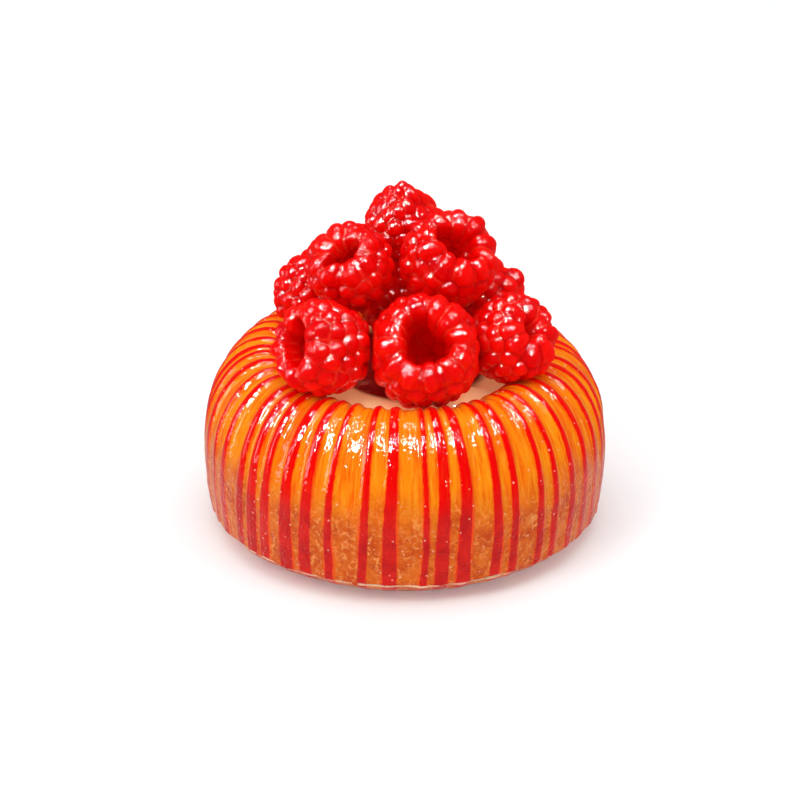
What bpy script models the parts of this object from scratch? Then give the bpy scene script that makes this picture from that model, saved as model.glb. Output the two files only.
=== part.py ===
"""Round croissant tart with berries, for Blender 4.5. Metres, +Z up, the tart stands on Z = 0.

A drum of two-colour croissant dough with a rounded rim, baked in a ring, holds a pool of pastry cream.
Nine glazed berries are piled on the cream. -Y is the front, +X the right.
"""

import math

import bmesh
import bpy
import numpy as np
from mathutils import Vector

MM = 0.001

# The pastry drum
RIM_RADIUS = 42.5 * MM  # widest, where the side turns into the shoulder
BASE_RADIUS = 41.0 * MM
CREST_RADIUS = 29.4 * MM  # the highest line of the rim
PASTRY_HEIGHT = 37.6 * MM
SHOULDER_HEIGHT = 16.5 * MM  # above it the rim is a quarter of an ellipse in section
LIP_RADIUS = 20.6 * MM  # where the rim's inner quarter ellipse ends in the well
LIP_HEIGHT = 26.0 * MM
HEEL_HEIGHT = 4.2 * MM  # of the thin flaky edge round the foot
HEEL_RADIUS = 41.4 * MM
HEEL_UNDERCUT = (1.0 * MM, 1.6 * MM)  # in and down from the edge's tip
FOOT_RADIUS = 36.0 * MM  # the dough turns under to this
WELL_FLOOR = 22.0 * MM  # bottom of the hollow that holds the cream
WELL_RADIUS = 17.5 * MM

# The red strips laid into the dough, with orange bands between them
STRIP_COUNT = 50
STRIP_SEED = 128320
SPACING_SPREAD = 0.42  # of an even spacing, either way
FIRST_STRIP = math.radians(-48.4)
STRIP_GROOVE = 0.30 * MM
BAND_CROWN = 0.25 * MM
RELIEF_ON_SIDE = 0.3  # the ring pressed the side nearly flat
RIM_SWELL = 0.3 * MM  # slow unevenness of the rim
RIM_TILT = 0.4 * MM  # half of the extra height of the rim at its highest side
RIM_TILT_TURN = math.radians(135)  # of that side, clockwise from the front

# The cream
CREAM_LEVEL = 33.4 * MM
CREAM_SWELL = 2.8 * MM  # where the berries push it up against the pastry
CREAM_SWELL_RADIUS = 19.2 * MM
CREAM_SWELL_WIDTH = 4.2 * MM
CREAM_WAVES = 5
TOUCH_GAP = 0.3 * MM  # between any two solids that touch

# Shape of a berry, as shares of its radius
TIP_LENGTH = 1.03  # from the widest line down to the tip
COLLAR_HEIGHT = 0.82  # from the widest line up to the rolled edge of the mouth
ROLL_TIGHTNESS = 0.5  # 1 would make the collar's inner side an ellipse, less makes it steeper
HOLLOW_DEPTH = 0.40  # of the hollow, below the widest line
MIDDLE_SHIFT = 0.10  # of the widest line towards the mouth, from the berry's centre
DRUPELET_DOME = 0.12  # how far a drupelet stands out
DRUPELETS_AROUND = 14
DRUPELET_ROWS = 10  # from the tip over the collar to the bottom of the hollow
SMOOTH_TIP = 0.6  # nearer the axis than this the drupelets flatten out
DRUPELET_SCATTER = 0.16  # of the pitch

PASTRY_COLOUR = (0.83, 0.33, 0.06, 1.0)
CREAM_COLOUR = (0.78, 0.52, 0.30, 1.0)
BERRY_COLOUR = (0.62, 0.01, 0.015, 1.0)

# name: centre in mm, radius in mm, direction of the mouth, direction of the mouth's long axis,
# half-widths of the hollow over the radius
BERRIES = {
    "berry_front": ((4.0, -15.3, 44.6), 11.4, (0.0, -0.77, 0.63), (0.58, -0.36, -0.73), (0.37, 0.33)),
    "berry_left": ((-17.0, -16.0, 45.4), 10.0, (-0.72, -0.56, 0.41), (0.0, 0.45, 0.89), (0.36, 0.20)),
    "berry_right": ((21.5, -8.9, 44.3), 9.5, (0.62, -0.53, 0.58), (0.0, 0.45, 0.89), (0.12, 0.10)),
    "berry_back_left": ((-19.2, 12.0, 44.9), 8.6, (0.60, 0.60, 0.53), (0.0, 0.6, -0.8), (0.34, 0.30)),
    "berry_back_right": ((16.4, 12.8, 44.0), 8.5, (0.45, 0.62, 0.64), (1.0, 0.0, -0.8), (0.34, 0.28)),
    "berry_back": ((-1.9, 15.3, 42.5), 9.2, (-0.15, 0.80, 0.58), (1.0, 0.2, 0.3), (0.35, 0.33)),
    "berry_upper_left": ((-11.1, -0.4, 56.2), 9.4, (-0.25, -0.59, 0.77), (-0.77, -0.29, -0.57), (0.33, 0.12)),
    "berry_upper_right": ((8.5, 0.2, 57.8), 10.4, (0.28, -0.58, 0.76), (0.82, -0.26, -0.52), (0.37, 0.21)),
    "berry_top": ((-0.8, 15.7, 60.6), 8.6, (0.45, 0.78, -0.44), (1.0, 0.0, 0.0), (0.34, 0.34)),
}


def fresh_collection(name):
    """Empties the scene and returns a new collection in it."""
    for old in list(bpy.data.objects):
        bpy.data.objects.remove(old)
    collection = bpy.data.collections.new(name)
    bpy.context.scene.collection.children.link(collection)
    return collection


def make_material(name, colour, roughness):
    """A plain food finish."""
    material = bpy.data.materials.new(name)
    material.use_nodes = True
    shader = material.node_tree.nodes["Principled BSDF"]
    shader.inputs["Base Color"].default_value = colour
    shader.inputs["Roughness"].default_value = roughness
    shader.inputs["Metallic"].default_value = 0.0
    return material


def turned_mesh(name, profile, steps):
    """The mesh of a profile of (radius, height) points turned about Z by a Screw modifier."""
    line = bpy.data.meshes.new(name + "_profile")
    points = [(radius, 0.0, height) for radius, height in profile]
    line.from_pydata(points, [(i, i + 1) for i in range(len(points) - 1)], [])
    holder = bpy.data.objects.new(name + "_profile", line)
    bpy.context.scene.collection.objects.link(holder)
    screw = holder.modifiers.new("turn", "SCREW")
    screw.axis = "Z"
    screw.steps = screw.render_steps = steps
    screw.use_merge_vertices = True
    screw.merge_threshold = 0.00001
    graph = bpy.context.evaluated_depsgraph_get()
    mesh = bpy.data.meshes.new_from_object(holder.evaluated_get(graph))
    bpy.data.objects.remove(holder)
    mesh.name = name
    return mesh


def vertex_array(mesh):
    """The mesh's vertices as an array of rows x, y, z."""
    flat = np.empty(len(mesh.vertices) * 3)
    mesh.vertices.foreach_get("co", flat)
    return flat.reshape(-1, 3)


def finish(mesh, name, material, collection):
    """Turns the faces outwards, shades them smooth and puts the mesh in the collection."""
    shape = bmesh.new()
    shape.from_mesh(mesh)
    bmesh.ops.recalc_face_normals(shape, faces=shape.faces)
    shape.to_mesh(mesh)
    shape.free()
    mesh.shade_smooth()
    mesh.materials.clear()
    mesh.materials.append(material)
    thing = bpy.data.objects.new(name, mesh)
    collection.objects.link(thing)
    return thing


# The pastry: its section, and the strips that run from the well over the rim and down the side


def rim_height(radius):
    """Height of the pastry's top at this distance from the axis: a quarter ellipse each side of the crest."""
    outside = (radius - CREST_RADIUS) / (RIM_RADIUS - CREST_RADIUS)
    inside = (CREST_RADIUS - radius) / (CREST_RADIUS - LIP_RADIUS)
    across = np.clip(np.maximum(outside, inside), 0.0, 1.0)
    foot = np.where(outside > 0, SHOULDER_HEIGHT, LIP_HEIGHT)
    return foot + (PASTRY_HEIGHT - foot) * np.sqrt(1.0 - across**2)


def wall_radius(height):
    """Distance from the axis to the wall of the well at this height."""
    rise = (height - LIP_HEIGHT) / (PASTRY_HEIGHT - LIP_HEIGHT)
    return CREST_RADIUS - (CREST_RADIUS - LIP_RADIUS) * math.sqrt(1 - rise**2)


def pastry_profile():
    """(radius, height) from the middle of the well over the rim to the middle of the foot."""
    inner = [
        (CREST_RADIUS - (CREST_RADIUS - LIP_RADIUS) * math.cos(turn),
         LIP_HEIGHT + (PASTRY_HEIGHT - LIP_HEIGHT) * math.sin(turn))
        for turn in np.linspace(0.0, math.pi / 2, 6)[:-1]
    ]
    outer = [
        (CREST_RADIUS + (RIM_RADIUS - CREST_RADIUS) * math.sin(turn),
         SHOULDER_HEIGHT + (PASTRY_HEIGHT - SHOULDER_HEIGHT) * math.cos(turn))
        for turn in np.linspace(0.0, math.pi / 2, 8)
    ]
    side = [
        (BASE_RADIUS + (RIM_RADIUS - BASE_RADIUS) * math.sin(share * math.pi / 2), share * SHOULDER_HEIGHT)
        for share in (0.6, 0.36)
    ]
    inwards, down = HEEL_UNDERCUT
    heel = [(HEEL_RADIUS, HEEL_HEIGHT), (HEEL_RADIUS - inwards, HEEL_HEIGHT - down), (FOOT_RADIUS, 0.0)]
    return [(0.0, WELL_FLOOR), (WELL_RADIUS, WELL_FLOOR), *inner, *outer, *side, *heel, (0.0, 0.0)]


def rim_swell(angle):
    """How far the rim stands proud of its section at this angle: a tilt to one side and slow waves."""
    waves = 0.6 * np.sin(2 * angle + 0.7) + 0.4 * np.sin(5 * angle + 2.0)
    return RIM_TILT * (1 + np.cos(angle + RIM_TILT_TURN)) + RIM_SWELL * waves


def strip_angles():
    """Angle of each red strip from the front, growing to the right, with seeded unevenness."""
    draws = np.random.default_rng(STRIP_SEED)
    shares = draws.uniform(1 - SPACING_SPREAD, 1 + SPACING_SPREAD, STRIP_COUNT)
    return FIRST_STRIP + np.cumsum(shares * 2 * math.pi / shares.sum())


def meridians():
    """Two angles for each strip: along its groove, and along the crown of the band after it."""
    grooves = strip_angles()
    following = np.append(grooves[1:], grooves[0] + 2 * math.pi)
    return np.stack([grooves, (grooves + following) / 2], axis=1).ravel()


def pastry_mesh():
    """The turned drum, its meridians moved onto grooves and crowns and pressed in or out along them."""
    lines = meridians()
    mesh = turned_mesh("pastry", pastry_profile(), len(lines))
    points = vertex_array(mesh)
    radius = np.hypot(points[:, 0], points[:, 1])
    turn = np.arctan2(points[:, 1], points[:, 0]) % (2 * math.pi)
    index = np.rint(turn / (2 * math.pi / len(lines))).astype(int) % len(lines)
    angle = lines[index]
    height = points[:, 2]
    on_rim = np.clip((height - HEEL_HEIGHT) / (SHOULDER_HEIGHT - HEEL_HEIGHT), 0.0, 1.0)
    shown = (height > 0.8 * MM) & (radius > WELL_RADIUS + 1 * MM)
    strength = np.where(shown, RELIEF_ON_SIDE + (1 - RELIEF_ON_SIDE) * on_rim, 0.0)
    press = np.where(index % 2 == 0, -STRIP_GROOVE, BAND_CROWN) * strength
    over_rim = np.clip((height - SHOULDER_HEIGHT) / (PASTRY_HEIGHT - SHOULDER_HEIGHT), 0.0, 1.0)
    outwards = np.clip((radius - CREST_RADIUS) / (RIM_RADIUS - CREST_RADIUS), -1.0, 1.0)
    outwards = np.where(height < SHOULDER_HEIGHT, 1.0, outwards)
    radius = radius + np.where(shown, press, 0.0) * outwards
    height = height + np.where(shown, press + rim_swell(angle), 0.0) * over_rim
    moved = np.stack([radius * np.sin(angle), -radius * np.cos(angle), height], axis=1)
    mesh.vertices.foreach_set("co", moved.ravel())
    return mesh


# The cream: a pool that fills the well, pushed up a little near the pastry


def cream_height(x, y):
    """Height of the cream's surface: a level with a low ring and slow waves."""
    radius = np.hypot(x, y)
    ring = np.exp(-(((radius - CREAM_SWELL_RADIUS) / CREAM_SWELL_WIDTH) ** 2))
    waves = 0.75 + 0.25 * np.sin(CREAM_WAVES * np.arctan2(x, -y) - 1.2)
    return CREAM_LEVEL + CREAM_SWELL * ring * waves


def cream_profile():
    """(radius, height) from the middle of the top to the edge, down the wall and back to the axis."""
    gap = TOUCH_GAP + STRIP_GROOVE + 2 * RIM_TILT
    edge = wall_radius(CREAM_LEVEL + 0.5 * CREAM_SWELL) - gap
    top = [(edge * share, CREAM_LEVEL) for share in (0.0, 0.35, 0.6, 0.75, 0.88, 1.0)]
    heights = np.linspace(CREAM_LEVEL - 3 * MM, WELL_FLOOR + 3 * MM, 3)
    wall = [(wall_radius(height) - gap, height) for height in heights]
    floor = WELL_FLOOR + TOUCH_GAP
    return [*top, *wall, (WELL_RADIUS - gap, floor), (0.0, floor)]


def cream_mesh():
    """The turned pool with its top raised to the cream's surface."""
    mesh = turned_mesh("cream", cream_profile(), 32)
    points = vertex_array(mesh)
    top = points[:, 2] > CREAM_LEVEL - 0.1 * MM
    surface = cream_height(points[:, 0], points[:, 1])
    points[:, 2] = np.where(top, surface, points[:, 2])
    mesh.vertices.foreach_set("co", points.ravel())
    return mesh


# The berries: an egg with a rolled mouth and a hollow, covered in rows of drupelets


def berry_section(share, hollow):
    """Radius and height of the smooth wall, in shares of the berry's radius.

    share runs from 0 at the tip to 1 at the bottom of the hollow, over three quarter and half ellipses:
    the egg below the widest line, the collar that rolls over into the mouth, and the hollow's bottom.
    The collar's inner side drops more steeply than an ellipse, so that the mouth stays narrow.
    """
    egg_end, collar_end = 0.40, 0.86
    below = np.clip(share / egg_end, 0, 1) * math.pi / 2
    over = np.clip((share - egg_end) / (collar_end - egg_end), 0, 1) * math.pi
    inside = np.clip((share - collar_end) / (1 - collar_end), 0, 1) * math.pi / 2
    middle, half = (1 + hollow) / 2, (1 - hollow) / 2
    outward = np.cos(over)
    rolled = np.where(outward < 0, -np.abs(outward) ** ROLL_TIGHTNESS, outward)
    egg = (np.sin(below), -TIP_LENGTH * np.cos(below))
    collar = (middle + half * rolled, COLLAR_HEIGHT * np.sin(over))
    pit = (hollow * np.cos(inside), -HOLLOW_DEPTH * np.sin(inside))
    part = [share <= egg_end, share <= collar_end]
    return [np.select(part, [egg[i], collar[i]], pit[i]) for i in (0, 1)]


def drupelets(share, turn):
    """How far each vertex of the sphere's net is up a drupelet, from 0 in a groove to 1 on a crown.

    Every second column of every second ring carries a crown, and each row of them is shifted by half
    a drupelet against the one before, so a vertex between two rings lies on the flank of one of them.
    """
    ring = np.rint(share * 2 * DRUPELET_ROWS).astype(int)
    column = np.rint(turn / (math.pi / DRUPELETS_AROUND)).astype(int)
    crown = (ring % 2 == 0) & ((column + ring // 2) % 2 == 0)
    return np.where(crown, 1.0, np.where(ring % 2 == 1, 0.7, 0.0))


def berry_frame(mouth, long_way):
    """Three unit vectors: along and across the mouth, and the axis towards the mouth."""
    axis = Vector(mouth).normalized()
    across = axis.cross(Vector(long_way)).normalized()
    return np.array([across.cross(axis), across, axis])


def pressed_by_neighbours(points, name):
    """Flattens a berry against the plane halfway to each neighbour, by radii, less half the gap."""
    centre = np.array(BERRIES[name][0]) * MM
    own = BERRIES[name][1] * MM
    for other, (place, radius, *_) in BERRIES.items():
        if other == name:
            continue
        towards = np.array(place) * MM - centre
        distance = np.linalg.norm(towards)
        limit = distance * own / (own + radius * MM) - TOUCH_GAP / 2
        reach = (points - centre) @ (towards / distance)
        scale = np.where(reach > limit, limit / np.maximum(reach, limit), 1.0)
        points = centre + (points - centre) * scale[:, None]
    return points


def resting(points):
    """Lifts what would sink into the pastry or the cream onto them."""
    x, y = points[:, 0], points[:, 1]
    proud = BAND_CROWN + np.maximum(rim_swell(np.arctan2(x, -y)), 0.0)
    rim = rim_height(np.hypot(x, y)) + 1.6 * proud
    points[:, 2] = np.maximum(points[:, 2], np.maximum(cream_height(x, y), rim) + TOUCH_GAP)
    return points


def berry_mesh(name):
    """A sphere's net laid along the section, raised by the drupelets, turned and set in the pile."""
    place, size, mouth, long_way, (wide, narrow) = BERRIES[name]
    draws = np.random.default_rng(list(BERRIES).index(name))
    mesh = bpy.data.meshes.new(name)
    sphere = bmesh.new()
    columns, rings = 2 * DRUPELETS_AROUND, 2 * DRUPELET_ROWS
    bmesh.ops.create_uvsphere(sphere, u_segments=columns, v_segments=rings, radius=1.0)
    sphere.to_mesh(mesh)
    sphere.free()
    points = vertex_array(mesh)
    share = 1 - np.arccos(np.clip(points[:, 2], -1, 1)) / math.pi
    turn = np.arctan2(points[:, 1], points[:, 0])
    dome = drupelets(share, turn)
    inner = (share > 1e-6) & (share < 1 - 1e-6)
    share = share + inner * draws.uniform(-1, 1, len(share)) * DRUPELET_SCATTER / rings
    turn = turn + draws.uniform(-1, 1, len(turn)) * DRUPELET_SCATTER * 2 * math.pi / columns
    hollow = 1 / np.hypot(np.cos(turn) / wide, np.sin(turn) / narrow)
    radius, height = berry_section(share, hollow)
    ahead = berry_section(np.clip(share + 0.004, 0, 1), hollow)
    behind = berry_section(np.clip(share - 0.004, 0, 1), hollow)
    rise, run = ahead[1] - behind[1], ahead[0] - behind[0]
    steep = np.maximum(np.hypot(rise, run), 1e-9)
    out = np.where(inner, rise / steep, 0.0)
    up = np.where(inner, -run / steep, np.sign(share - 0.5))
    strength = np.clip(radius / SMOOTH_TIP, 0, 1)
    lift = DRUPELET_DOME * (strength * (dome - 0.5) - 0.5)
    radius = radius + lift * out
    height = height + lift * up + MIDDLE_SHIFT
    local = np.stack([radius * np.cos(turn), radius * np.sin(turn), height], axis=1)
    world = np.array(place) * MM + (local * size * MM) @ berry_frame(mouth, long_way)
    world = resting(pressed_by_neighbours(world, name))
    mesh.vertices.foreach_set("co", world.ravel())
    return mesh


def main():
    """Builds the tart's eleven pieces."""
    tart = fresh_collection("berry_croissant_tart")
    pastry = make_material("baked_dough", PASTRY_COLOUR, 0.35)
    cream = make_material("cream", CREAM_COLOUR, 0.25)
    berry = make_material("glazed_berry", BERRY_COLOUR, 0.15)
    finish(pastry_mesh(), "croissant_ring", pastry, tart)
    finish(cream_mesh(), "pastry_cream", cream, tart)
    for name in BERRIES:
        finish(berry_mesh(name), name, berry, tart)


main()
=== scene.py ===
"""Looks of the berry croissant tart: striped glazed dough, pastry cream and a pile of raspberries.

Sizes are in millimetres, turned to metres where a mesh is made. +Z is up, -Y the front, +X the right.
Angles round the tart are measured from the front, growing to the right.
"""

import math

import bpy
import numpy as np
from mathutils import Matrix, Vector


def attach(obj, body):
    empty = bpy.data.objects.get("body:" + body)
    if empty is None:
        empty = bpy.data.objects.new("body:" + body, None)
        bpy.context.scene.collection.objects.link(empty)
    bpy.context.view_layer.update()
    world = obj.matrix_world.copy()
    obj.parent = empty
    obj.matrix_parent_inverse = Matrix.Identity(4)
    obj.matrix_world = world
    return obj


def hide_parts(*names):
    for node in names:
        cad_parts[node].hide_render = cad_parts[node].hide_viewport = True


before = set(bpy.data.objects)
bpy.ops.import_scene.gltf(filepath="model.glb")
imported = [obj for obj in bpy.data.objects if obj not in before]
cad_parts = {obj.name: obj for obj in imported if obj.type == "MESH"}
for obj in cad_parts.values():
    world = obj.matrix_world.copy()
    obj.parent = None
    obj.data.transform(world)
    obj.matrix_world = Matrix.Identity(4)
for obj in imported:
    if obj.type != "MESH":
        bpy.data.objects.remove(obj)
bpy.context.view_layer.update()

# The drum of croissant dough
# Buttered dough laid with narrow strips of red-coloured dough, stood on edge in a ring mould, proved
# until it swells over the rim and baked. Its top is brushed with clear glaze, its side stays drier.

MM = 0.001

RIM_RADIUS = 42.5  # widest, where the side turns into the shoulder
BASE_RADIUS = 41.0
CREST_RADIUS = 29.4  # the highest line of the rim
PASTRY_HEIGHT = 37.6
SHOULDER_HEIGHT = 16.5  # above it the rim is a quarter of an ellipse in section
LIP_RADIUS = 20.6  # where the rim's inner quarter ellipse ends in the well
LIP_HEIGHT = 26.0
HEEL_HEIGHT = 4.2  # of the thin flaky edge round the foot
HEEL_RADIUS = 41.4
FOOT_RADIUS = 35.6
WELL_FLOOR = 22.0
WELL_RADIUS = 17.5
RIM_TILT = 0.4  # half of the extra height of the rim at its highest side
RIM_TILT_TURN = math.radians(135)  # of that side, clockwise from the front
RIM_SWELL = 0.3

CRUST_COLUMNS = 720
STRIP_COUNT = 50
STRIP_SEED = 128320
SPACING_SPREAD = 0.42
FIRST_STRIP = math.radians(-48.4)
STRIP_HALF_WIDTH = 0.92  # at the widest line of the drum
STRIP_WIDTH_SPREAD = 0.40
SIDE_WIDENING = 0.28  # how much wider the strips are low on the side
WIDENING_HEIGHTS = (28, 10)
STRIP_WANDER = 0.15
WANDER_LENGTHS = (22, 44)
STRIP_LEAN = (math.radians(1.47), math.radians(-0.78))  # turn over LEAN_HEIGHT, and its change
LEAN_HEIGHT = 30.0
LEAN_START = 5.0
GROOVE_DEPTH = 0.42
GROOVE_FLANK = (-0.75, 0.15)  # where it starts and is full, inside the strip's edge
BAND_CROWN = 0.32
LAYER_RIDGE = 0.07  # fine ridges of the dough's layers beside the strips
GRAIN_STRETCH = 0.12  # width of the grain over its length
SIDE_RELIEF = 0.25  # how much of the strips' relief the ring mould left on the side
SIDE_TOP = (16.0, 27.0)  # between these heights the dry side turns into the glazed top
SIDE_LUMP = 0.13
FLAKE_LEDGE = 0.75  # how far the flaky edge stands out round the foot
LEDGE_UNDERCUT = 0.5

# sRGB colours of the dough
BAND_PALE = "FF8E0A"
BAND_DEEP = "FA6402"
GRAIN_RED = "F24A06"
GRAIN_PALE = "FFB42C"
SIDE_PALE = "E06A14"
SIDE_DEEP = "C84404"
SIDE_VEIN = "EC9048"
SIDE_PIT = "B4340A"
DYE_BLEED = "F44406"
STRIP_TOP = ("F00200", "FA3206")
STRIP_SIDE = ("DA1A10", "C00C0C")
# painted highlight: the pale colour of the specks on drops of glaze
SPECK_PAINTED_HIGHLIGHT = "FFD9B8"
FLAKE_EDGE = "FFDCB4"
DRY_DUST = "FFE0D8"


def soft_noise(points, size, seed):
    """Smooth noise from -1 to 1 with lumps of this size: random values on a cubic lattice, blended
    inside each cell with smoothstep weights."""
    lattice = np.random.default_rng(seed).uniform(-1, 1, (32, 32, 32))
    scaled = points / size
    corner = np.floor(scaled).astype(int)
    share = scaled - corner
    share = share * share * (3 - 2 * share)
    total = np.zeros(points.shape[:-1])
    for step in np.ndindex(2, 2, 2):
        weight = np.prod(np.where(step, share, 1 - share), axis=-1)
        at = (corner + step) % 32
        total += weight * lattice[at[..., 0], at[..., 1], at[..., 2]]
    return total


def smoothstep(low, high, value):
    """0 below low, 1 above high, and an S-shaped rise between them."""
    share = np.clip((value - low) / (high - low), 0, 1)
    return share * share * (3 - 2 * share)


def closed_mesh(name, rows, start, end, values):
    """A closed surface: a grid of points in mm, rows by columns, which runs round its columns and is
    closed by one point at each end. values holds a number or a vector for each grid point, by name."""
    count, columns = rows.shape[:2]
    points = np.concatenate([rows.reshape(-1, 3), [start, end]]) * MM
    index = np.arange(count * columns).reshape(count, columns)
    beside = np.roll(index, -1, axis=1)
    quads = np.stack([index[:-1], beside[:-1], beside[1:], index[1:]], axis=-1).reshape(-1, 4)
    first = np.full(columns, len(points) - 2)
    last = np.full(columns, len(points) - 1)
    start_cap = np.stack([first, beside[0], index[0]], axis=-1)
    end_cap = np.stack([index[-1], beside[-1], last], axis=-1)
    mesh = bpy.data.meshes.new(name)
    mesh.from_pydata(points.tolist(), [], quads.tolist() + start_cap.tolist() + end_cap.tolist())
    for title, value in values.items():
        flat = value.reshape(count * columns, -1)
        ends = [flat[:columns].mean(axis=0), flat[-columns:].mean(axis=0)]
        flat = np.concatenate([flat, ends])
        kind, key = ("FLOAT", "value") if flat.shape[1] == 1 else ("FLOAT_VECTOR", "vector")
        attribute = mesh.attributes.new(title, kind, "POINT")
        attribute.data.foreach_set(key, flat.astype(np.float32).ravel())
    mesh.shade_smooth()
    return mesh


def surface_normals(rows):
    """Unit normals of a grid that runs round its columns: the cross product of its two directions."""
    down = np.gradient(rows, axis=0)
    beside = np.roll(rows, -1, axis=1) - np.roll(rows, 1, axis=1)
    normal = np.cross(beside, down)
    return normal / np.maximum(np.linalg.norm(normal, axis=-1, keepdims=True), 1e-9)


def add_piece(mesh, material, node):
    """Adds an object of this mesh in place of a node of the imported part, with its finish from a slot."""
    mesh.materials.append(material)
    piece = bpy.data.objects.new(mesh.name, mesh)
    bpy.context.scene.collection.objects.link(piece)
    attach(piece, "root")
    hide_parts(node)


def crust_section():
    """(radius, height) from the well's floor over the rim, down the side and under to the foot."""
    # few rows under the cream, and close ones where the flaky edge stands out
    hidden = np.linspace(0.0, 0.58, 4)
    inner = np.concatenate([hidden, np.linspace(0.64, math.pi / 2, 20)[:-1]])
    outer = np.linspace(0.0, math.pi / 2, 56)
    heights = np.concatenate([np.linspace(16.0, 6.8, 19), np.linspace(6.6, HEEL_HEIGHT, 13)])
    under = np.linspace(0.06, math.pi / 2, 10)
    radius = np.concatenate([
        [WELL_RADIUS],
        CREST_RADIUS - (CREST_RADIUS - LIP_RADIUS) * np.cos(inner),
        CREST_RADIUS + (RIM_RADIUS - CREST_RADIUS) * np.sin(outer),
        BASE_RADIUS + (RIM_RADIUS - BASE_RADIUS) * np.sin(heights / SHOULDER_HEIGHT * math.pi / 2),
        FOOT_RADIUS + (HEEL_RADIUS - FOOT_RADIUS) * (1 - np.sin(under)) ** 1.3,
    ])
    height = np.concatenate([
        [WELL_FLOOR],
        LIP_HEIGHT + (PASTRY_HEIGHT - LIP_HEIGHT) * np.sin(inner),
        SHOULDER_HEIGHT + (PASTRY_HEIGHT - SHOULDER_HEIGHT) * np.cos(outer),
        heights,
        HEEL_HEIGHT * (1 - np.sin(under)),
    ])
    return radius, height


def rim_swell(angle):
    """How far the rim stands proud of its section at this angle: a tilt to one side and slow waves."""
    waves = 0.6 * np.sin(2 * angle + 0.7) + 0.4 * np.sin(5 * angle + 2.0)
    return RIM_TILT * (1 + np.cos(angle + RIM_TILT_TURN)) + RIM_SWELL * waves


def strip_angles():
    """Angle of each red strip from the front, growing to the right, with seeded unevenness."""
    draws = np.random.default_rng(STRIP_SEED)
    shares = draws.uniform(1 - SPACING_SPREAD, 1 + SPACING_SPREAD, STRIP_COUNT)
    return FIRST_STRIP + np.cumsum(shares * 2 * math.pi / shares.sum())


def strip_pattern(angle, radius, height, along):
    """For each point: mm inside the edge of the nearest strip (negative outside), place across its band
    from -1 to 1, and the number of the band. A strip leans, wanders by a slow sine, is narrower where
    the radius is smaller and wider low on the side."""
    draws = np.random.default_rng(7)
    width = STRIP_HALF_WIDTH * draws.uniform(1 - STRIP_WIDTH_SPREAD, 1 + STRIP_WIDTH_SPREAD, STRIP_COUNT)
    phase = draws.uniform(0, 2 * math.pi, STRIP_COUNT)
    length = draws.uniform(*WANDER_LENGTHS, STRIP_COUNT)
    grooves = strip_angles()
    rise = (height - LEAN_START) / LEAN_HEIGHT
    lean = STRIP_LEAN[0] * rise + STRIP_LEAN[1] * rise**2
    turn = (angle - lean - grooves[0]) % (2 * math.pi) + grooves[0]
    left = np.clip(np.searchsorted(grooves, turn, side="right") - 1, 0, STRIP_COUNT - 1)
    right = (left + 1) % STRIP_COUNT
    ends = np.append(grooves, grooves[0] + 2 * math.pi)
    narrowing = (radius / RIM_RADIUS) ** 0.8
    widening = narrowing * (1 + SIDE_WIDENING * smoothstep(*WIDENING_HEIGHTS, height))

    def wander(strip):
        return STRIP_WANDER * np.sin(2 * math.pi * along / length[strip] + phase[strip]) * narrowing

    from_left = np.maximum((turn - ends[left]) * radius - wander(left), 0)
    from_right = np.maximum((ends[left + 1] - turn) * radius + wander(right), 0)
    inside_left = width[left] * widening - from_left
    inside_right = width[right] * widening - from_right
    across = (from_left - from_right) / np.maximum(from_left + from_right, 1e-6)
    return np.maximum(inside_left, inside_right), across, left


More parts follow.
